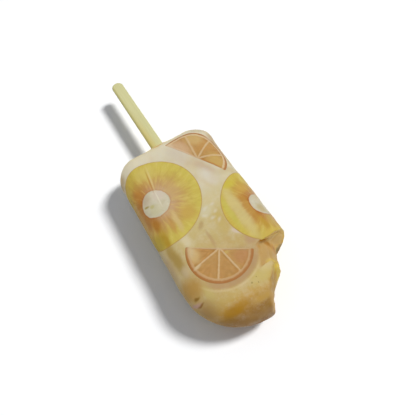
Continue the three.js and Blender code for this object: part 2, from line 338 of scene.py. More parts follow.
def bite_distance(points):
    """How far points are outside the bite, less than 0 inside it: the tooth marks run together
    with rounded ridges, and uneven all over."""
    distance = mark_distance(points, TOOTH_MARKS[0])
    for mark in TOOTH_MARKS[1:]:
        distance = smooth_min(distance, mark_distance(points, mark), RIDGE_ROUNDING)
    for height, size, seed in BITE_LUMPS:
        distance = distance + height * waves(points, size, seed)
    return distance


# --- The bar of ice -------------------------------------------------------------------------

COLUMN_STEP = 0.55 * MM  # between the points round a ring
RINGS = dict(tip=62, ridge=38, notch=62, straight=107, end=26)
RIDGE_PLACE = (-67.5 * MM, -61 * MM)  # along Y, of the walls of the ridge between the tooth marks
NOTCH_PLACE = (-61 * MM, -53 * MM)  # and of the notch, whose wall is nearly square to the bar
CORE_BEND = dict(start=-46 * MM, length=14 * MM, share=0.78)  # how the core keeps out of the bite
RAY_LENGTH = 31 * MM
SKIN_LUMPS = ((0.1 * MM, 16 * MM, 1), (0.04 * MM, 5 * MM, 2))  # height, size and seed
SQUARE_CORNER = dict(centre=(25.5, 9.5, 18), reach=5, swell=0.9)  # where the mould is less round
COLLAR_HEIGHT = 2.2 * MM  # of the melted collar round the stick
COLLAR_WIDTH = 2.1 * MM
POCKET = 1.9 * MM  # the ice dips this far under a slice
POCKET_INSET = 0.7 * MM  # and starts to dip this far inside its rim
POCKET_SLOPE = 0.8 * MM


def ring_places():
    """Places of the bar's rings along Y: even steps round both ends, and closer together where the
    bite's walls are nearly square to the bar."""
    last = np.arcsin((TIP_CENTRE - RIDGE_PLACE[0]) / TIP_RADIUS)
    tip = TIP_CENTRE - TIP_RADIUS * np.sin(np.linspace(np.pi / 2, last, RINGS["tip"]))
    ridge = np.linspace(*RIDGE_PLACE, RINGS["ridge"] + 1)[1:]
    notch = np.linspace(*NOTCH_PLACE, RINGS["notch"] + 1)[1:]
    straight = np.linspace(NOTCH_PLACE[1], FACE_END, RINGS["straight"] + 1)[1:]
    end = FACE_END + EDGE * np.sin(np.linspace(0, np.pi / 2, RINGS["end"] + 1))[1:]
    return np.concatenate([tip, ridge, notch, straight, end])


def ring_columns():
    """Round a ring: the place along the bar's core from -1 to 1, and the direction in which the
    point lies from it. Over the flat faces the place moves, and round the edges the direction."""
    flat = int(2 * FACE_HALF / COLUMN_STEP)
    edge = int(np.pi * EDGE / COLUMN_STEP)
    turn = np.linspace(0.5, 1.5, edge, endpoint=False) * np.pi
    along = [np.linspace(1, -1, flat, endpoint=False), -np.ones(edge)]
    along += [np.linspace(-1, 1, flat, endpoint=False), np.ones(edge)]
    direction = [np.full(flat, np.pi / 2), turn, np.full(flat, 1.5 * np.pi), turn + np.pi]
    return np.concatenate(along), np.concatenate(direction)


def bar_field(points):
    """Above 0 outside the bitten bar: its depth under the skin cut by the bite, the rim rounded."""
    distance = nearest_on_face(points[..., 0], points[..., 1])[4]
    height = np.hypot(distance, points[..., 2] - EDGE) - EDGE
    steep, tip = RIM_ROUNDING
    towards_tip = smoothstep((RIM_CHANGE["start"] - points[..., 1]) / RIM_CHANGE["length"])
    rounding = steep + (tip - steep) * towards_tip
    return smooth_max(height, -bite_distance(points), rounding)


def stick_distance(points):
    """How far points are from the stick, seen along it."""
    middle = (STICK_LOW + STICK_HIGH) / 2
    half = (STICK_HIGH - STICK_LOW) / 2
    out = np.clip(np.abs(points - middle) - half, 0, None)
    return np.hypot(out[..., 0], out[..., 2])


def skin_relief(points):
    """Unevenness of the whole skin, slices included: 0 or a little below, and fuller at the square
    corner."""
    corner_x, corner_down, corner_z = (part * MM for part in SQUARE_CORNER["centre"])
    away = np.linalg.norm(points - (corner_x, STICK_END - corner_down, corner_z), axis=-1)
    fuller = SQUARE_CORNER["swell"] * MM * np.exp(-((away / (SQUARE_CORNER["reach"] * MM)) ** 2))
    for lump_height, length, seed in SKIN_LUMPS:
        fuller = fuller + lump_height * (waves(points, length, seed) - 1)
    return fuller


def bar_surface(sizes):
    """The bar as rings across it. From its place on the core, a line at mid-height that stays
    inside the ice, each point goes outwards in its direction until it leaves the ice. Then the
    ridge gets its lump, and the skin its unevenness and collar, and it dips under the slices."""
    y = ring_places()[:, None]
    along, direction = ring_columns()
    beyond_tip = np.clip((TIP_CENTRE - y) / TIP_RADIUS, 0, 1)
    half = FACE_HALF * np.sqrt(1 - beyond_tip**2)
    bitten = smoothstep((CORE_BEND["start"] - y) / CORE_BEND["length"])
    right = half * (1 - CORE_BEND["share"] * bitten)
    core_x = np.where(along > 0, right, half) * along
    core = np.stack([core_x, y + 0 * core_x, EDGE + 0 * core_x], axis=-1)
    way = np.stack([np.cos(direction), 0 * direction, np.sin(direction)], axis=-1)
    reach = np.full(core_x.shape, RAY_LENGTH)
    distance = first_crossing(lambda d: bar_field(core + way * d[..., None]), reach)
    points = core + way * distance[..., None]

    lump_x, lump_down, lump_z = (part * MM for part in RIDGE_LUMP["centre"])
    away = (points - (lump_x, STICK_END - lump_down, lump_z)) / (np.array(RIDGE_LUMP["size"]) * MM)
    points[..., 0] += RIDGE_LUMP["swell"] * MM * np.exp(-(away**2).sum(axis=-1))

    for face in ("front", "back"):
        across, place_y, height = unwrapped(points, face)
        dips = np.zeros_like(height)
        for fruit in KIWIS + ORANGES:
            if fruit["face"] == face:
                inside = -slice_outline(across, place_y, fruit)
                dips = np.maximum(dips, smoothstep((inside - POCKET_INSET) / POCKET_SLOPE))
        relief = skin_relief(points)
        collar = sizes.collar * np.exp(-((stick_distance(points) / COLLAR_WIDTH) ** 2))
        collar = collar * smoothstep((points[..., 1] - FACE_END) / EDGE)
        skin = np.clip(1 + height / MM, 0, 1)  # 1 at the skin, 0 from a millimetre under it
        raised = height + skin * (relief + collar)
        lowered = np.where(dips > 0, np.minimum(raised, relief - POCKET * dips), raised)
        on_sheet = points[..., 2] >= EDGE if face == "front" else points[..., 2] < EDGE
        if face == "front":  # its slices reach past the middle of the edge
            on_sheet = on_sheet | (dips > 0)
        moved = wrapped(across, place_y, lowered, face)
        points = np.where(on_sheet[..., None], moved, points)
    points[..., 2] = np.maximum(points[..., 2], 0)
    return points


# --- Slices ---------------------------------------------------------------------------------

SLICE_COLUMNS = 300
TOP_RINGS = 64
ROUND_RINGS = 6
SIDE_RINGS = 4
BACK_RINGS = 8
RIM_ROUND = 0.35 * MM
CUT_ROUND = 0.5 * MM  # between a half slice's round and its cut, seen from above
SEAT_INSET = 6 * MM  # a half slice's rings run round a place this far past its cut
BITE_INSET = 0.25 * MM  # slices end this far inside the bite, where its rim is rounded
BITTEN_ROUND = 0.3 * MM  # between a slice's round and its bitten edge
FLOOR_GAP = 0.05 * MM  # under the slices at the back
PEEL = 1.4 * MM
PITH = 0.75 * MM
CORE_DIP = 0.1 * MM
CORE_SLOPE = 0.8 * MM
FLESH_RIDGES = dict(height=0.05 * MM, width=0.16, stretch=30 * MM, seed=7)  # width in radians
FLESH_FADE = 4 * MM  # the ridges get lower from here to the rim
PULP_DIP = 0.16 * MM
PULP_SLOPE = 0.8 * MM
PITH_SLOPE = 0.9 * MM
JUICE_SACS = (0.04 * MM, 1.6 * MM, 11)  # height, size and seed


def local_place(across, y, fruit):
    """Where a point of the sheet lies from a slice's middle."""
    return across - fruit["across"] * MM, y - (STICK_END - fruit["down"] * MM)


def turned(x, y, fruit):
    """A place measured from an orange slice's middle, as forward, towards its bulge, and left."""
    bulge = np.radians(fruit["bulge"])
    return x * np.cos(bulge) + y * np.sin(bulge), y * np.cos(bulge) - x * np.sin(bulge)


def slice_outline(across, y, fruit):
    """How far a point of the sheet is outside a slice's whole outline, less than 0 inside it: a
    swelling circle for kiwi, and for orange the part of a circle on one side of the cut."""
    x, y = local_place(across, y, fruit)
    outside = -peel_depth(x, y, fruit)
    if "long" in fruit:
        return outside
    forward, _ = turned(x, y, fruit)
    return smooth_max(outside, -forward, CUT_ROUND)


def peel_depth(x, y, fruit):
    """How far a place, measured from the slice's middle, is inside the fruit's own skin."""
    radius = fruit["radius"] * MM
    if "long" in fruit:
        turn = np.arctan2(y, x) - np.radians(fruit["long"])
        return radius + fruit["oval"] * MM * np.cos(2 * turn) - np.hypot(x, y)
    forward, left = turned(x, y, fruit)
    return radius - np.hypot(forward - fruit["past"][0] * MM, left - fruit["past"][1] * MM)


def membrane_distance(x, y, fruit):
    """How far a place is from the nearest membrane of an orange slice, the cut's edge counting as
    one, and which segment it lies in."""
    forward, left = turned(x, y, fruit)
    nearest = np.maximum(forward, 0)
    segment = np.zeros_like(forward)
    for spoke in np.radians(fruit["spokes"]):
        ahead = forward * np.cos(spoke) + left * np.sin(spoke)
        aside = left * np.cos(spoke) - forward * np.sin(spoke)
        nearest = np.minimum(nearest, np.where(ahead > 0, np.abs(aside), np.hypot(ahead, aside)))
        segment = segment + (aside > 0)
    return nearest, segment


def top_relief(x, y, fruit):
    """Relief of a slice's face. A kiwi's core lies lower than its flesh, which has fine ridges that
    run outwards. An orange's pulp lies lower than membranes and pith, with plump juice sacs."""
    if "long" in fruit:
        core_x, core_y = (offset * MM for offset in fruit["core_off"])
        reach = np.hypot(x - core_x, y - core_y)
        turn = np.arctan2(y - core_y, x - core_x)
        fine = FLESH_RIDGES
        round_core = np.stack([np.cos(turn), np.sin(turn), reach / fine["stretch"]], axis=-1)
        ridges = waves(round_core, fine["width"], fine["seed"])
        ridges = ridges * smoothstep((reach / MM - fruit["core"]) / 2)
        inside = smoothstep(peel_depth(x, y, fruit) / FLESH_FADE)
        dip = smoothstep((fruit["core"] * MM - reach) / CORE_SLOPE)
        return fine["height"] * ridges * inside - CORE_DIP * dip
    nearest, segment = membrane_distance(x, y, fruit)
    pulp = smoothstep((nearest - fruit["wall"] * MM) / PULP_SLOPE)
    pulp = pulp * smoothstep((peel_depth(x, y, fruit) - PEEL - PITH) / PITH_SLOPE)
    height, size, seed = JUICE_SACS
    sacs = waves(np.stack([x, y, segment * MM], axis=-1), size, seed)
    return pulp * (height * sacs - PULP_DIP)


def slice_surface(fruit, sizes):
    """A slice as rings round a place inside it: out over its face to the rim, which ends at the
    outline or at the bite, over the rounded rim, down the side and in again underneath. Returns the
    points, their places on the sheet, measured from the slice's middle, and their depth below the
    face."""
    inset = 0 if "long" in fruit else SEAT_INSET
    bulge = np.radians(fruit.get("bulge", 0))
    seat_x = fruit["across"] * MM + inset * np.cos(bulge)
    seat_y = STICK_END - fruit["down"] * MM + inset * np.sin(bulge)
    turn = np.linspace(0, 2 * np.pi, SLICE_COLUMNS, endpoint=False)
    top = PROUD if fruit["face"] == "front" else -SUNK
    bottom = top - sizes.thickness

    round_turn = np.linspace(0, np.pi / 2, ROUND_RINGS)
    side = np.linspace(top - RIM_ROUND, bottom + RIM_ROUND, SIDE_RINGS + 2)[1:-1]
    heights = np.concatenate([
        np.full(TOP_RINGS, top),
        top - RIM_ROUND * (1 - np.cos(round_turn)),
        side,
        bottom + RIM_ROUND * (1 - np.sin(round_turn)),
        np.full(BACK_RINGS, bottom),
    ])
    insets = np.concatenate([
        np.full(TOP_RINGS, RIM_ROUND),
        RIM_ROUND * (1 - np.sin(round_turn)),
        np.zeros(len(side)),
        RIM_ROUND * (1 - np.cos(round_turn)),
        np.full(BACK_RINGS, RIM_ROUND),
    ])
    shares = np.ones(len(heights))
    shares[:TOP_RINGS] = np.linspace(0, 1, TOP_RINGS, endpoint=False)
    shares[-BACK_RINGS:] = np.linspace(0.9, 0, BACK_RINGS)

    def place(distance):
        """The place on the sheet at this distance from the seat, for each direction."""
        return seat_x + distance * np.cos(turn), seat_y + distance * np.sin(turn)

    def outside(distance):
        """Above 0 where that place is past the outline or in the bite."""
        x, y = place(distance)
        points = wrapped(x, y, heights[:, None], fruit["face"])
        bitten = BITE_INSET - bite_distance(points)
        return smooth_max(slice_outline(x, y, fruit), bitten, BITTEN_ROUND)

    across_disc = 2.2 * fruit["radius"] * MM  # and a little more
    rim = first_crossing(outside, np.full((len(heights), SLICE_COLUMNS), across_disc))
    distance = shares[:, None] * (rim - insets[:, None])
    x, y = place(distance)
    local_x, local_y = local_place(x, y, fruit)
    relief = top_relief(local_x, local_y, fruit)
    rows = np.arange(len(heights))[:, None]
    level = skin_relief(wrapped(x, y, 0 * x, fruit["face"]))
    raised = heights[:, None] + level + np.where(rows < TOP_RINGS, relief, 0)
    points = wrapped(x, y, raised, fruit["face"])
    points[..., 2] = np.maximum(points[..., 2], FLOOR_GAP)
    below = np.broadcast_to(top - heights[:, None], points.shape[:2])
    return points, local_x, local_y, below


# --- Stick ----------------------------------------------------------------------------------

STICK_EDGE = 1.45 * MM
STICK_POINTS = dict(end=25, side=131, face=7, edge=7)
GRAIN_RELIEF = dict(height=0.03 * MM, width=0.9 * MM, stretch=0.08, seed=21)


def stick_surface(sizes):
    """The stick as rings from the middle of its upper face out to its outline, round the eased
    edge and in again underneath. The outline is a straight bar with half-round ends."""
    middle = (STICK_LOW + STICK_HIGH) / 2
    half_width, half_length, half_height = (STICK_HIGH - STICK_LOW) / 2
    straight = half_length - half_width
    ends = np.linspace(0, np.pi, STICK_POINTS["end"])
    sides = np.linspace(-1, 1, STICK_POINTS["side"] + 2)[1:-1] * straight
    outline_turn = np.concatenate([0 * sides, ends, 0 * sides + np.pi, ends + np.pi])
    outline_y = np.concatenate([sides, 0 * ends + straight, -sides, 0 * ends - straight])

    edge = sizes.stick_edge
    ease = np.linspace(0, np.pi / 2, STICK_POINTS["edge"])
    face = np.linspace(0, half_width - edge, STICK_POINTS["face"], endpoint=False)
    across = np.concatenate([face, half_width - edge * (1 - np.sin(ease))])
    height = half_height - np.concatenate([0 * face, edge * (1 - np.cos(ease))])
    across = np.concatenate([across, across[::-1]])
    height = np.concatenate([height, -height[::-1]])

    x = across[:, None] * np.cos(outline_turn)
    y = across[:, None] * np.sin(outline_turn) + outline_y
    z = height[:, None] + 0 * x
    points = np.stack([x, y, z], axis=-1)
    squeezed = points * (1, GRAIN_RELIEF["stretch"], 1)
    grain = waves(squeezed, GRAIN_RELIEF["width"], GRAIN_RELIEF["seed"]) - 1
    points[..., 2] += GRAIN_RELIEF["height"] * grain * np.sign(points[..., 2])
    return points + middle


# --- Meshes ---------------------------------------------------------------------------------

WELD = 0.002 * MM  # points nearer than this become one


def mesh_piece(name, node, material, points, places=None, layers=None):
    """A piece from rings of points that close on themselves. Its first and last ring close on a
    point or a line, so doubles are merged. Places become its UV map, layers its attributes."""
    rings, columns = points.shape[:2]
    number = np.arange(rings * columns).reshape(rings, columns)
    beside = np.roll(number, -1, axis=1)
    faces = np.stack([number[:-1], beside[:-1], beside[1:], number[1:]], axis=-1).reshape(-1, 4)
    mesh = bpy.data.meshes.new(name)
    mesh.from_pydata(points.reshape(-1, 3), [], faces)
    if places is not None:
        corners = np.stack(places, axis=-1).reshape(-1, 2)[faces.ravel()]  # one for each corner
        mesh.uv_layers.new(name="slice").uv.foreach_set("vector", corners.ravel())
    for layer, values in (layers or {}).items():
        kind = "FLOAT_VECTOR" if values.ndim == 3 else "FLOAT"
        made = mesh.attributes.new(layer, kind, "POINT")
        made.data.foreach_set("vector" if values.ndim == 3 else "value", values.ravel())

    form = bmesh.new()
    form.from_mesh(mesh)
    bmesh.ops.remove_doubles(form, verts=form.verts, dist=WELD)
    if form.calc_volume(signed=True) < 0:
        bmesh.ops.reverse_faces(form, faces=form.faces)
    for face in form.faces:
        face.smooth = True
    form.to_mesh(mesh)
    form.free()

    piece = bpy.data.objects.new(name, mesh)
    bpy.context.scene.collection.objects.link(piece)
    mesh.materials.append(material)
    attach(piece, "root")
    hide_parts(node)
    return piece


# --- Colours and materials ------------------------------------------------------------------

ICE_IOR = 1.31
PIT_SIZE = 0.8 * MM  # fine pits of melting ice, drawn a little coarser than they are
PIT_DEPTH = 0.1 * MM


def linear(code):
    """A colour written as sRGB hex, as linear red, green, blue and alpha."""
    parts = np.array([int(code[start : start + 2], 16) for start in (1, 3, 5)]) / 255
    return (*np.where(parts <= 0.04045, parts / 12.92, ((parts + 0.055) / 1.055) ** 2.4), 1.0)


def add(tree, kind, inputs=None, **settings):
    """Adds a node. Settings are its properties. Inputs are by name or number, and each is a value,
    a hex colour, a socket, or a node that stands for its first output in use."""
    made = tree.nodes.new("ShaderNode" + kind)
    for name, value in settings.items():
        setattr(made, name, value)
    for key, value in (inputs or {}).items():
        in_use = [socket for socket in made.inputs if socket.enabled]
        socket = in_use[key] if isinstance(key, int) else next(s for s in in_use if s.name == key)
        if isinstance(value, str):
            value = linear(value)
        if isinstance(value, bpy.types.Node):
            value = next(output for output in value.outputs if output.enabled)
        if isinstance(value, bpy.types.NodeSocket):
            tree.links.new(value, socket)
        else:
            socket.default_value = value
    return made


def new_material(name):
    """An empty material, returned with its tree."""
    material = bpy.data.materials.new(name)
    material.use_nodes = True
    material.node_tree.nodes.clear()
    return material, material.node_tree


def finished(material, sockets):
    """Gives a material its shader, with these sockets set or linked."""
    shader = add(material.node_tree, "BsdfPrincipled", sockets)
    add(material.node_tree, "OutputMaterial", {"Surface": shader})
    return material


def icy(material, colour, roughness, glow_share, glow_depth):
    """Finishes ice or frozen fruit: a soft wet sheen, fine pits, and light that sinks in, by this
    share and depth, and comes out warmer."""
    tree = material.node_tree
    place = add(tree, "TexCoord").outputs["Object"]
    pits = add(tree, "TexNoise", {"Vector": place, "Scale": 1 / PIT_SIZE})
    uneven = {"Value": pits, "To Min": roughness - 0.08, "To Max": roughness + 0.1}
    return finished(material, {
        "Base Color": colour,
        "Roughness": add(tree, "MapRange", uneven),
        "Normal": add(tree, "Bump", {"Height": pits, "Strength": 0.2, "Distance": PIT_DEPTH}),
        "IOR": ICE_IOR,
        "Specular IOR Level": 0.15,
        "Subsurface Weight": glow_share,
        "Subsurface Radius": (1.0, 0.7, 0.35),
        "Subsurface Scale": glow_depth,
    })


def graded(tree, value, stops):
    """A colour that changes with value through stops, each a position and a hex colour."""
    made = add(tree, "ValToRGB", {"Fac": value})
    elements = made.color_ramp.elements
    while len(elements) < len(stops):
        elements.new(1)
    for element, (position, code) in zip(elements, stops):
        element.position = position
        element.color = linear(code)
    return made


def layered(tree, colour, layers):
    """Lays colours over a first one, in order. A layer is its strength and its colour."""
    for strength, over in layers:
        colour = add(tree, "Mix", {"Factor": strength, "A": colour, "B": over}, data_type="RGBA")
    return colour


def fade(tree, value, start, end, strength=1.0):
    """Strength where value is below start, and nothing from end on, with a soft change between."""
    inputs = {"Value": value, "From Min": start, "From Max": end, "To Min": strength, "To Max": 0.0}
    return add(tree, "MapRange", inputs, interpolation_type="SMOOTHSTEP")


def marked(tree, colour, place, spots, origin=(0, 0)):
    """Lays spots over a colour. Place is a vector in metres, measured from origin."""
    layers = []
    for mark in spots:
        across, down, *height = mark["centre"]
        wide, long, *tall = mark["size"]
        centre = (across - origin[0], origin[1] - down, height[0] if height else 0)
        local = add(tree, "Mapping", {
            "Vector": place,
            "Location": tuple(part * MM for part in centre),
            "Rotation": (0, 0, np.radians(mark["turn"])),
            "Scale": (wide * MM, long * MM, tall[0] * MM if tall else 2 * EDGE),
        }, vector_type="TEXTURE")
        reach = add(tree, "VectorMath", {0: local}, operation="LENGTH").outputs["Value"]
        strength = fade(tree, reach, 1 - mark["soft"], 1.0, mark["strength"])
        layers.append((strength, mark["code"]))
    return layered(tree, colour, layers)


def swirled(tree, place, size, reach):
    """Place moved about by noise with lumps of this size, by up to half of reach each way."""
    noise = add(tree, "TexNoise", {"Vector": place, "Scale": 1 / size}).outputs["Color"]
    offset = add(tree, "VectorMath", {0: noise, 1: (0.5, 0.5, 0.5)}, operation="SUBTRACT")
    offset = add(tree, "VectorMath", {0: offset, "Scale": reach}, operation="SCALE")
    return add(tree, "VectorMath", {0: place, 1: offset}, operation="ADD")


ICE_LENGTH = 115  # millimetres of the front, along its surface
ICE_ALONG = (  # its colour at distances down from the stick end
    (0, "#c8ba8a"), (8, "#cec4a8"), (16, "#cac1a8"), (28, "#c9be9f"), (40, "#c7bc9d"),
    (48, "#c3b486"), (56, "#bdab76"), (66, "#b9a46c"), (78, "#b69d65"), (88, "#b9a168"),
    # amber towards the tip; the brown of the last stops, round the tip's rounded end, is painted
    # shade
    (93, "#b99f60"), (96.5, "#b59148"), (100, "#a07838"), (104, "#926c39"), (115, "#8c6840"),
)
CLOUDS = (  # milky lumps and fine bubbles: the noise that they start and end at, and their strength
    dict(size=6 * MM, detail=5.0, roughness=0.7, start=0.45, end=0.75, strength=0.4),
    dict(size=1.3 * MM, detail=4.0, roughness=0.6, start=0.5, end=0.8, strength=0.15),
)
FRONT_SPOTS = (
    spot((0, 0.5), (26, 4.2), "#c39842", 0.85),  # amber melt along the stick end
    spot((0.6, 1.0), (6, 4.6), "#c99335", 0.55),  # and round the stick
    spot((-30.5, 11), (7.5, 9.5), "#ad9260", 0.85),  # darker tan in both corners of the stick end
    spot((23, 6), (9, 5), "#b5a788", 0.8),
    spot((4.5, 18), (5, 11), "#c3b6a0", 0.8, 20),  # mauve frost
    spot((12.5, 31), (3.5, 11), "#bda88d", 0.85, 27),  # shade beside the corner slice's cut
    spot((11, 37), (4.5, 9), "#cdc5b4", 0.8, 15),  # white cloud between the kiwis
    spot((22, 38.5), (8, 3.6), "#bcab82", 0.75),  # clearer gap beside it
    spot((1, 53), (5, 4), "#c5bb98", 0.8),  # cloud with the white flecks in it
    spot((4, 60), (4, 9), "#b9a25f", 0.7),  # yellow juice under it
    spot((-4.3, 66), (1.3, 7), "#b09468", 0.75),  # two brown streaks
    spot((-5, 57.5), (2.2, 3.5), "#ab9160", 0.8, -35),
    spot((-14.3, 61), (3.6, 6), "#c9bd9a", 0.75),  # painted highlight along the shoulder under the left kiwi
    spot((7.0, 69), (1.6, 3.5), "#c9b7a0", 0.9, 12),  # frost at the tip slice's end
    spot((10.5, 75.5), (3.5, 4.5), "#b0906b", 0.9, 40),  # and shade past it
    spot((-30, 66), (6, 14), "#b7a17c", 0.9),  # the left edge
    spot((28, 20), (6, 22), "#b1976f", 0.9),  # the right edge
    spot((-22.9, 64.5), (3.6, 14), "#a48847", 0.9, 3),  # long olive streak
    spot((-21.5, 73), (3.2, 4), "#bba680", 0.85),  # pale patch at its end
    spot((-26, 81), (13, 8), "#ad8643", 0.85),  # amber above the brown
    spot((-17.8, 86.5), (3.3, 7), "#bba768", 0.8),  # clear yellow beside it
    spot((-26, 94), (12, 9), "#9e7c49", 0.9),  # the brown
    spot((-28.5, 87.6), (7, 1.9), "#b58f84", 0.95, -6),  # mauve band
    spot((-24.2, 85.4), (3.0, 1.2), "#825c1c", 0.85, -4),  # between two dark bits of peel
    spot((-24.6, 88.9), (3.4, 1.0), "#825626", 0.8, 4),
    spot((-13, 98.8), (10, 4.0), "#a5781f", 0.9, 4),  # amber syrup
    spot((0.5, 99.8), (7.5, 2.8), "#b8954b", 0.75),
    spot((-21, 102), (11, 4.5), "#8c6728", 0.85),  # syrup darkened by painted shade round the tip's rounded end, here and in the next two spots
    spot((1.5, 104.5), (8, 3), "#987434", 0.7, 8),
    spot((-9, 107), (16, 5), "#926d39", 0.8),
    spot((5, 92), (8, 5), "#beaa64", 0.8),  # clear yellow at the foot of the halo
    spot((8.8, 88.8), (5, 4), "#cfbf8e", 0.6, 10, 1.0),
)
SPECKS = tuple(
    spot((across, down), (size, size), "#8a7a44", 0.75)
    for across, down, size in ((-0.2, 92.6, 0.6), (2.4, 91.8, 0.4), (1.9, 94.1, 0.35))
)
FLECKS = tuple(  # crushed white ice
    spot((across, down), (2.2, 1.25), "#cdc5b2", 0.5, turn, 1.0)
    for across, down, turn in (
        (1.2, 51.8, 25), (5.0, 51.4, 10), (-0.8, 54.5, -30), (4.3, 55.3, 20), (1.6, 57.2, -20),
        (3.4, 59.6, 40),
    )
)
BACK_SPOTS = (
    spot((14, 20), (12, 14), "#cbc2af", 0.7, 20),
    spot((-20, 35), (9, 16), "#bda57c", 0.6),
    spot((6, 62), (16, 5), "#c3b89a", 0.6, 10),
    spot((18, 72), (9, 12), "#b69a5c", 0.7),
    spot((12, 92), (12, 6), "#b8a25f", 0.7),
    spot((-12, 98), (12, 5), "#a4772f", 0.8, 10),
    spot((4, 106), (16, 5), "#926f47", 0.8),
)
BITE_SPOTS = (  # across, down and height
    spot((23, 77.5, 12), (16, 6.5, 24), "#d8b26a", 0.98),  # steep wall at the notch, with painted light: coloured lighter as if lit
    spot((24, 79.5, 3.5), (7, 3.5, 5), "#7d6a45", 0.8),  # its shaded foot
    spot((18, 81.0, 14), (5, 3.0, 11), "#b98a3c", 0.8),
    spot((16, 80.0, 20), (3.4, 1.5, 6), "#a87120", 0.9, -30),  # painted shade in the crease at the foot of the wall, here and in the next spot
    spot((19, 81.8, 12), (4, 1.7, 8), "#a87434", 0.85, -30),
    spot((14, 87.6, 21), (5, 2.4, 6), "#cdb86c", 0.9),
    spot((14.8, 90.4, 11), (8.5, 5.5, 26), "#c9ab3e", 0.98),  # juicy ridge between two marks
    spot((12, 92.4, 14), (2.6, 2.2, 7), "#b0803a", 0.7),
    spot((9, 97, 15), (8, 7, 24), "#ab8845", 0.9),
)
NOTCH_SPOTS = (
    # The first is a painted shadow line under the front edge where it overhangs the notch.
    spot((14.4, 78.7, 23.4), (4.8, 1.1, 3.6), "#8f5c04", 1.0, 6),
    spot((11.2, 80.2, 23.8), (1.4, 2.0, 3), "#b28748", 0.6),
    spot((21, 76.5, 21), (10, 3.5, 8), "#c8a660", 0.7),
)
GHOST_WIDTH = 3.0 * MM  # of the dull band round the tip's orange slice
GHOST_WAY = -83  # the direction that it faces


def ghost_rim(tree, colour, skin, fruit):
    """The rim of a half slice at the front shows through the ice round it, as a dull band that
    ends in a thin light line."""
    bulge = np.radians(fruit["bulge"])
    across = fruit["across"] + fruit["past"][0] * np.cos(bulge)
    down = fruit["down"] - fruit["past"][0] * np.sin(bulge)
    middle = (across * MM, -down * MM, 2 * EDGE)
    facing = (np.cos(np.radians(GHOST_WAY)), np.sin(np.radians(GHOST_WAY)), 0)
    local = add(tree, "VectorMath", {0: skin, 1: middle}, operation="SUBTRACT")
    reach = add(tree, "VectorMath", {0: local}, operation="LENGTH").outputs["Value"]
    way = add(tree, "VectorMath", {0: local}, operation="NORMALIZE")
    ahead = add(tree, "VectorMath", {0: way, 1: facing}, operation="DOT_PRODUCT").outputs["Value"]
    side = add(tree, "MapRange", {"Value": ahead, "From Min": 0.35, "From Max": 0.75})
    edge = fruit["radius"] * MM + GHOST_WIDTH
    from_edge = add(tree, "Math", {0: reach, 1: edge}, operation="SUBTRACT")
    from_edge = add(tree, "Math", {0: from_edge}, operation="ABSOLUTE")
    band = fade(tree, reach, edge - 1.6 * MM, edge, 0.8)
    line = fade(tree, from_edge, 0.0, 0.8 * MM, 0.45)
    return layered(tree, colour, [
        (add(tree, "Math", {0: band, 1: side}, operation="MULTIPLY"), "#aa8860"),
        (add(tree, "Math", {0: line, 1: side}, operation="MULTIPLY"), "#cab68c"),
    ])


def ice_material(colours):
    """Cloudy fruit ice: juice frozen in a mould, full of small bubbles, so it is milky and light
    sinks a few millimetres into it. Its melting skin has a soft wet sheen. Syrup has gathered
    towards the tip and makes it amber, and painted shade darkens the tip's rounded end to brown.
    Where it is bitten, it is juicy and darker."""
    material, tree = new_material("cloudy fruit ice")
    place = add(tree, "TexCoord").outputs["Object"]
    skin = add(tree, "Attribute", attribute_name="skin").outputs["Vector"]
    drifting = swirled(tree, skin, 7 * MM, 3.5 * MM)
    y = add(tree, "SeparateXYZ", {0: drifting}).outputs["Y"]
    down = add(tree, "MapRange", {"Value": y, "From Min": 0.0, "From Max": -ICE_LENGTH * MM})
    colour = graded(tree, down, [(distance / ICE_LENGTH, code) for distance, code in ICE_ALONG])
    for cloud in CLOUDS:
        noise = add(tree, "TexNoise", {
            "Vector": place,
            "Scale": 1 / cloud["size"],
            "Detail": cloud["detail"],
            "Roughness": cloud["roughness"],
        })
        milky = add(tree, "MapRange", {
            "Value": noise,
            "From Min": cloud["start"],
            "From Max": cloud["end"],
            "To Max": cloud["strength"],
        })
        colour = layered(tree, colour, [(milky, colours.milk)])
    front = add(tree, "VectorMath", {0: drifting, 1: (0, 0, 2 * EDGE)}, operation="SUBTRACT")
    colour = marked(tree, colour, front, FRONT_SPOTS + SPECKS + FLECKS)
    colour = marked(tree, colour, drifting, BACK_SPOTS)
    colour = ghost_rim(tree, colour, skin, ORANGES[0])

    depth = add(tree, "Attribute", attribute_name="depth").outputs["Fac"]
    bitten = {"Value": depth, "From Min": 0.15 * MM, "From Max": 0.9 * MM, "To Max": 0.95}
    pulpy = add(tree, "TexNoise", {"Vector": place, "Scale": 1 / (3 * MM), "Detail": 3.0})
    part = add(tree, "VectorMath", {0: place, 1: (0, -STICK_END, 0)}, operation="ADD")
    part = swirled(tree, part, 3 * MM, 1.2 * MM)
    juicy = layered(tree, colours.juice, [(pulpy, "#ba985c")])
    juicy = marked(tree, juicy, part, BITE_SPOTS)
    colour = layered(tree, colour, [(add(tree, "MapRange", bitten), juicy)])
    colour = marked(tree, colour, part, NOTCH_SPOTS)
    return icy(material, colour, 0.48, 0.25, 2.5 * MM)


KIWI_PALE = (  # from the core out, on the pale side
    (0, "#b99a78"), (0.22, "#b79465"), (0.45, "#b8985b"), (0.7, "#baa252"), (1, "#bfae52"),
)
KIWI_DEEP = (  # and on the deep side
    (0, "#a3652a"), (0.25, "#ab7532"), (0.5, "#b48a3f"), (0.8, "#b99c45"), (1, "#bda648"),
)
STREAK_LENGTH = 9 * MM
STREAK_COUNT = 7.0  # how many lumps wide the streaks' noise is across the disc


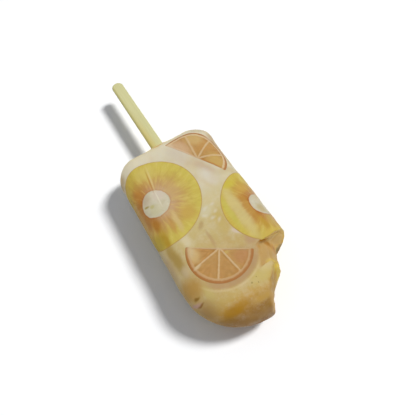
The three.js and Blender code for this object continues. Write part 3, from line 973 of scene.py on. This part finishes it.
def kiwi_material(fruit, colours):
    """Frozen golden kiwi: glassy yellow flesh with streaks that run out from a chalky core, which
    an orange halo surrounds unevenly, and a hair of brown skin at the rim."""
    material, tree = new_material("frozen golden " + fruit["name"])
    place = add(tree, "TexCoord").outputs["Object"]
    local = add(tree, "UVMap", uv_map="slice").outputs["UV"]
    to_core = tuple(-offset * MM for offset in fruit["core_off"]) + (0,)
    centred = add(tree, "VectorMath", {0: local, 1: to_core}, operation="ADD")
    reach = add(tree, "VectorMath", {0: centred}, operation="LENGTH").outputs["Value"]
    way = add(tree, "VectorMath", {0: centred}, operation="NORMALIZE")
    drifting = swirled(tree, local, 5 * MM, 1.6 * MM)
    origin = (fruit["across"], fruit["down"])
    core = fruit["core"] * MM

    along = add(tree, "Math", {0: reach, 1: 1 / STREAK_LENGTH}, operation="MULTIPLY")
    rays = add(tree, "VectorMath", {0: way, "Scale": STREAK_COUNT}, operation="SCALE")
    outwards = add(tree, "CombineXYZ", {"Z": along})
    rays = add(tree, "VectorMath", {0: rays, 1: outwards}, operation="ADD")
    streak = add(tree, "TexNoise", {"Vector": rays, "Scale": 1.0, "Detail": 5.0, "Roughness": 0.7})
    wobble = {0: streak, 1: STREAK_LENGTH, 2: -STREAK_LENGTH / 2}
    wobble = add(tree, "Math", wobble, operation="MULTIPLY_ADD")
    uneven = add(tree, "Math", {0: reach, 1: wobble}, operation="ADD")
    share = add(tree, "MapRange", {"Value": uneven, "From Min": core, "From Max": 2.8 * core})

    turn = np.radians(fruit["halo_turn"])
    facing = (np.cos(turn), np.sin(turn), 0)
    ahead = add(tree, "VectorMath", {0: way, 1: facing}, operation="DOT_PRODUCT").outputs["Value"]
    side = add(tree, "MapRange", {"Value": ahead, "From Min": -0.4, "From Max": 0.8})
    light_streak = {"Value": streak, "From Min": 0.5, "From Max": 0.75, "To Max": 0.7}
    dark_streak = {"Value": streak, "From Min": 0.5, "From Max": 0.25, "To Max": 0.5}
    colour = layered(tree, graded(tree, share, KIWI_PALE), [
        (side, graded(tree, share, KIWI_DEEP)),
        (add(tree, "MapRange", light_streak), "#cbb86e"),
        (add(tree, "MapRange", dark_streak), "#a88440"),
    ])
    colour = marked(tree, colour, drifting, fruit["flesh_spots"], origin)

    blot = add(tree, "TexNoise", {"Vector": place, "Scale": 1 / (2.2 * MM), "Detail": 3.0})
    ragged = add(tree, "Math", {0: blot, 1: 1.2 * MM, 2: -0.6 * MM}, operation="MULTIPLY_ADD")
    from_core = add(tree, "Math", {0: reach, 1: ragged}, operation="ADD")
    rim = fade(tree, from_core, core, core + 0.9 * MM, 0.8)
    ringed = {"Value": side, "From Min": 0.1, "From Max": 0.9, "To Min": 0.45}
    ringed = add(tree, "MapRange", ringed)
    chalk = layered(tree, "#b0a584", [(blot, colours.kiwi_core)])
    chalk = marked(tree, chalk, drifting, fruit["core_spots"], origin)
    colour = layered(tree, colour, [
        (add(tree, "Math", {0: rim, 1: ringed}, operation="MULTIPLY"), "#a0602e"),
        (fade(tree, from_core, core - 0.3 * MM, core + 0.2 * MM), chalk),
    ])
    # Lays the painted highlight along the shoulder, with its darker line beside it
    colour = marked(tree, colour, local, fruit["shoulder_highlight_spots"], origin)

    peel = add(tree, "Attribute", attribute_name="peel_depth").outputs["Fac"]
    below = add(tree, "Attribute", attribute_name="below").outputs["Fac"]
    cut = add(tree, "MapRange", {"Value": below, "From Min": 0.1 * MM, "From Max": 0.5 * MM})
    colour = layered(tree, colour, [
        (fade(tree, peel, 0.25 * MM, 0.8 * MM, 0.65), colours.kiwi_skin),
        (cut, "#d6b063"),
    ])
    return icy(material, colour, 0.45, 0.15, 0.7 * MM)


SAC_SIZE = 1.1 * MM  # across a juice sac
SAC_STRETCH = 0.4  # sacs are longer outwards, by one over this
SEGMENT_STEP = 50 * MM  # sets the pattern of one segment apart from the next


def orange_material(fruit, colours):
    """Frozen orange: amber pulp of long juice sacs in segments, walled by pale membranes, with a
    pale pith and an orange-brown rind round the outside. Milky ice covers some of it."""
    material, tree = new_material("frozen " + fruit["name"])
    place = add(tree, "TexCoord").outputs["Object"]
    local = add(tree, "UVMap", uv_map="slice").outputs["UV"]
    cells = add(tree, "Attribute", attribute_name="cells").outputs["Vector"]
    origin = (fruit["across"], fruit["down"])
    sacs = {"Vector": cells, "Scale": 1 / SAC_SIZE}
    sacs = add(tree, "TexVoronoi", sacs, feature="SMOOTH_F1").outputs["Distance"]
    hue = add(tree, "TexNoise", {"Vector": cells, "Scale": 1 / (6 * MM)})
    clearer = {"Value": hue, "From Min": 0.4, "From Max": 0.7, "To Max": 0.5}
    pulp = layered(tree, "#b58850", [
        (add(tree, "MapRange", {"Value": sacs, "From Min": 0.1, "From Max": 0.8}), "#a0763e"),
        (add(tree, "MapRange", clearer), "#b39158"),
    ])
    pulp = marked(tree, pulp, swirled(tree, local, 4 * MM, 1.5 * MM), fruit["pulp_spots"], origin)

    wobble = add(tree, "TexNoise", {"Vector": place, "Scale": 1 / (1.6 * MM)})
    shift = add(tree, "Math", {0: wobble, 1: 0.7 * MM, 2: -0.35 * MM}, operation="MULTIPLY_ADD")
    wall = add(tree, "Attribute", attribute_name="membrane").outputs["Fac"]
    wall = add(tree, "Math", {0: wall, 1: shift}, operation="ADD")
    peel = add(tree, "Attribute", attribute_name="peel_depth").outputs["Fac"]
    peel = add(tree, "Math", {0: peel, 1: shift}, operation="ADD")
    half_wall = fruit["wall"] * MM
    white = PEEL + PITH
    colour = layered(tree, pulp, [
        (fade(tree, wall, half_wall - 0.2 * MM, half_wall + 0.3 * MM, 0.8), colours.membrane),
        (fade(tree, peel, white, white + 0.4 * MM, 0.85), fruit["pith"]),
        (fade(tree, peel, PEEL - 0.5 * MM, PEEL + 0.4 * MM, 0.9), colours.rind),
    ])
    colour = marked(tree, colour, local, fruit["milk_spots"], origin)
    return icy(material, colour, 0.45, 0.15, 0.7 * MM)


GRAIN_WIDTH = 0.7 * MM
GRAIN_LENGTH = 18 * MM
STAIN_LENGTH = 40 * MM  # juice has crept this far along the stick


def wood_material(colours):
    """Birch, unvarnished: pale and matt, with fine straight grain along the stick. Juice has
    stained it near the ice, most of all along its left edge, where painted shade also darkens
    a narrow strip."""
    material, tree = new_material("plain birch")
    place = add(tree, "TexCoord").outputs["Object"]
    fibres = {"Vector": place, "Scale": (1 / GRAIN_WIDTH, 1 / GRAIN_LENGTH, 1 / GRAIN_WIDTH)}
    fibres = add(tree, "Mapping", fibres)
    grain = add(tree, "TexNoise", {"Vector": fibres, "Scale": 1.0, "Detail": 3.0})
    split = add(tree, "SeparateXYZ", {0: place})
    x, y = split.outputs["X"], split.outputs["Y"]
    left = STICK_LOW[0]
    foot = STICK_END + 1 * MM
    near_ice = fade(tree, y, foot, STICK_END + STAIN_LENGTH, 0.55)
    left_side = fade(tree, x, left + 1.5 * MM, left + 4.5 * MM)
    colour = layered(tree, "#bdb884", [
        (grain, colours.wood),
        # painted shade along the stick's left edge
        (fade(tree, x, left + 0.3 * MM, left + 2 * MM, 0.6), "#bab066"),
        (add(tree, "Math", {0: near_ice, 1: left_side}, operation="MULTIPLY"), "#bfa852"),
        (fade(tree, y, foot, foot + 1.5 * MM, 0.7), "#c4a24c"),
    ])
    return finished(material, {
        "Base Color": colour,
        "Normal": add(tree, "Bump", {"Height": grain, "Strength": 0.3, "Distance": 0.1 * MM}),
        "Roughness": 0.65,
        "Specular IOR Level": 0.25,
        "IOR": 1.45,
    })


# --- Operators ------------------------------------------------------------------------------

FLOOR_HALF = 3.0
FLOOR_LEVEL = -0.03 * MM
PAPER = (0.93, 0.93, 0.93, 1)
CAMERA_AIM = (4.41 * MM, -22.73 * MM, 12 * MM)  # on the middle of the bar's right half
CAMERA_DISTANCE = 199.25 * MM
CAMERA_ELEVATION = 60.36
CAMERA_AZIMUTH = -109.03  # from +X
CAMERA_ROLL = -12.87
LENS = 35  # millimetres
SENSOR_WIDTH = 36

# Two key lights: one for the floor, low enough to draw the long shadow, and one for the lolly,
# higher, so that its lit edge isn't washed out.
KEYS = [
    dict(name="floor_key", floor=True, way=(0.66, -0.08, 0.75), width=0.22, strength=3.25),
    dict(name="lolly_key", floor=False, way=(0.27, 0.04, 0.96), width=0.5, strength=2.6),
]
SKY_COLOUR = (0.95, 0.98, 1.04, 1)
SKY_STRENGTH = 0.33
WALL_STRENGTH = 0.45


class LOLLY_OT_ice(Operator):
    """Makes the bitten bar of cloudy fruit ice"""

    bl_idname = "lolly.make_ice"
    bl_label = "Ice"

    def execute(self, context):
        points = bar_surface(context.scene.lolly_sizes)
        front = unwrapped(points, "front")
        back = unwrapped(points, "back")
        upper = points[..., 2] >= EDGE
        skin = np.stack([
            np.where(upper, front[0], back[0]),
            np.where(upper, front[1], back[1]) - STICK_END,
            points[..., 2],
        ], axis=-1)
        layers = {"skin": skin, "depth": -front[2]}
        material = ice_material(context.scene.lolly_colours)
        mesh_piece("fruit_ice", "ice_bar", material, points, layers=layers)
        return {"FINISHED"}


class LOLLY_OT_kiwis(Operator):
    """Makes the slices of golden kiwi"""

    bl_idname = "lolly.make_kiwis"
    bl_label = "Kiwi slices"

    def execute(self, context):
        for fruit in KIWIS:
            points, x, y, below = slice_surface(fruit, context.scene.lolly_sizes)
            layers = {"peel_depth": peel_depth(x, y, fruit), "below": below}
            material = kiwi_material(fruit, context.scene.lolly_colours)
            name, node = fruit["name"], fruit["node"]
            mesh_piece(name, node, material, points, (x, y), layers)
        return {"FINISHED"}


class LOLLY_OT_oranges(Operator):
    """Makes the half slices of orange"""

    bl_idname = "lolly.make_oranges"
    bl_label = "Orange slices"

    def execute(self, context):
        for fruit in ORANGES:
            material = orange_material(fruit, context.scene.lolly_colours)
            points, x, y, _ = slice_surface(fruit, context.scene.lolly_sizes)
            nearest, segment = membrane_distance(x, y, fruit)
            outwards = np.hypot(x, y) * SAC_STRETCH
            cells = np.stack([outwards, nearest, segment * SEGMENT_STEP], axis=-1)
            layers = {"peel_depth": peel_depth(x, y, fruit), "membrane": nearest, "cells": cells}
            mesh_piece(fruit["name"], fruit["node"], material, points, (x, y), layers)
        return {"FINISHED"}


class LOLLY_OT_stick(Operator):
    """Makes the wooden stick"""

    bl_idname = "lolly.make_stick"
    bl_label = "Stick"

    def execute(self, context):
        material = wood_material(context.scene.lolly_colours)
        points = stick_surface(context.scene.lolly_sizes)
        mesh_piece("wooden_stick", "stick", material, points)
        return {"FINISHED"}


class LOLLY_OT_stage(Operator):
    """Makes the pale floor, the lights and the camera"""

    bl_idname = "lolly.make_stage"
    bl_label = "Stage"

    def execute(self, context):
        scene = context.scene
        mesh = bpy.data.meshes.new("floor")
        corners = [(-1, -1), (1, -1), (1, 1), (-1, 1)]
        corners = [(x * FLOOR_HALF, y * FLOOR_HALF, FLOOR_LEVEL) for x, y in corners]
        mesh.from_pydata(corners, [], [(0, 1, 2, 3)])
        floor = bpy.data.objects.new("floor", mesh)
        scene.collection.objects.link(floor)
        material, _ = new_material("white studio paper")
        paper = {"Base Color": PAPER, "Roughness": 0.9, "Specular IOR Level": 0.2}
        mesh.materials.append(finished(material, paper))

        for key in KEYS:
            light = bpy.data.lights.new(key["name"], "SUN")
            light.energy = key["strength"]
            light.angle = key["width"]
            lamp = bpy.data.objects.new(key["name"], light)
            lamp.rotation_mode = "QUATERNION"
            lamp.rotation_quaternion = (-Vector(key["way"])).to_track_quat("-Z", "Y")
            scene.collection.objects.link(lamp)
            lit = bpy.data.collections.new(key["name"] + "_lights")
            lit.objects.link(floor)
            linking = lit.collection_objects[0].light_linking
            linking.link_state = "INCLUDE" if key["floor"] else "EXCLUDE"
            lamp.light_linking.receiver_collection = lit

        world = bpy.data.worlds.new("studio")
        world.use_nodes = True
        tree = world.node_tree
        tree.nodes.clear()
        up = add(tree, "SeparateXYZ", {0: add(tree, "TexCoord").outputs["Generated"]}).outputs["Z"]
        strength = add(tree, "MapRange", {
            "Value": up,
            "From Min": 0.05,
            "From Max": 0.4,
            "To Min": WALL_STRENGTH,
            "To Max": SKY_STRENGTH,
        })
        light = add(tree, "Background", {"Color": SKY_COLOUR, "Strength": strength})
        add(tree, "OutputWorld", {"Surface": light})
        scene.world = world

        camera = bpy.data.objects.new("camera", bpy.data.cameras.new("camera"))
        elevation, azimuth = np.radians(CAMERA_ELEVATION), np.radians(CAMERA_AZIMUTH)
        level = np.cos(elevation)
        back = Vector((level * np.cos(azimuth), level * np.sin(azimuth), np.sin(elevation)))
        camera.location = Vector(CAMERA_AIM) + back * CAMERA_DISTANCE
        camera.rotation_mode = "QUATERNION"
        roll = Quaternion((0, 0, 1), np.radians(CAMERA_ROLL))
        camera.rotation_quaternion = (-back).to_track_quat("-Z", "Y") @ roll
        camera.data.lens = LENS
        camera.data.sensor_width = SENSOR_WIDTH
        camera.data.clip_start = 0.01
        scene.collection.objects.link(camera)
        scene.camera = camera
        scene.view_settings.view_transform = "Standard"
        return {"FINISHED"}


def length_property(name, description, default):
    """A length that can be changed before the pieces are made."""
    return FloatProperty(
        name=name, description=description, default=default, min=0, precision=5,
        unit="LENGTH", subtype="DISTANCE",
    )


def colour_property(name, description, code):
    """A colour that can be changed before the pieces are made, with its default as hex."""
    return FloatVectorProperty(
        name=name, description=description, default=linear(code), min=0, max=1, size=4,
        subtype="COLOR",
    )


class LollySizes(PropertyGroup):
    """Sizes of the lolly's pieces"""

    thickness: length_property(
        "Slice thickness", "How deep a slice of fruit reaches into the ice", SLICE_THICKNESS
    )
    collar: length_property(
        "Collar height", "How far melted ice has crept up the stick", COLLAR_HEIGHT
    )
    stick_edge: length_property("Stick edge", "Radius of the stick's eased edges", STICK_EDGE)


class LollyColours(PropertyGroup):
    """Colours of the lolly's materials"""

    milk: colour_property("Milky ice", "The bubbly clouds in the ice", "#cfc5ad")
    juice: colour_property("Juicy ice", "The ice inside the bite", "#b3905a")
    kiwi_core: colour_property("Kiwi core", "The chalky core of a kiwi slice", "#cdc6b0")
    kiwi_skin: colour_property("Kiwi skin", "The hair of skin round a kiwi slice", "#ab8050")
    membrane: colour_property("Membrane", "The walls between orange segments", "#c6ab82")
    rind: colour_property("Rind", "The rind of an orange slice", "#9f6834")
    wood: colour_property("Wood", "The pale part of the stick's grain", "#cdc996")


class LOLLY_PT_panel(Panel):
    """Lists the pieces that can be made"""

    bl_label = "Fruit ice lolly"
    bl_idname = "LOLLY_PT_panel"
    bl_space_type = "VIEW_3D"
    bl_region_type = "UI"
    bl_category = "Lolly"

    def draw(self, context):
        for group in (context.scene.lolly_sizes, context.scene.lolly_colours):
            for name in group.__annotations__:
                self.layout.prop(group, name)
        for operator in MAKERS:
            self.layout.operator(operator.bl_idname)


MAKERS = (LOLLY_OT_stage, LOLLY_OT_ice, LOLLY_OT_kiwis, LOLLY_OT_oranges, LOLLY_OT_stick)
CLASSES = (LollySizes, LollyColours, *MAKERS, LOLLY_PT_panel)


def register():
    """Makes the classes and their settings known to Blender."""
    for kind in CLASSES:
        bpy.utils.register_class(kind)
    bpy.types.Scene.lolly_sizes = PointerProperty(type=LollySizes)
    bpy.types.Scene.lolly_colours = PointerProperty(type=LollyColours)


def unregister():
    """Takes them away again."""
    del bpy.types.Scene.lolly_colours
    del bpy.types.Scene.lolly_sizes
    for kind in reversed(CLASSES):
        bpy.utils.unregister_class(kind)


def main():
    """Makes every piece."""
    register()
    bpy.ops.lolly.make_stage()
    bpy.ops.lolly.make_ice()
    bpy.ops.lolly.make_kiwis()
    bpy.ops.lolly.make_oranges()
    bpy.ops.lolly.make_stick()


if __name__ == "__main__":
    main()
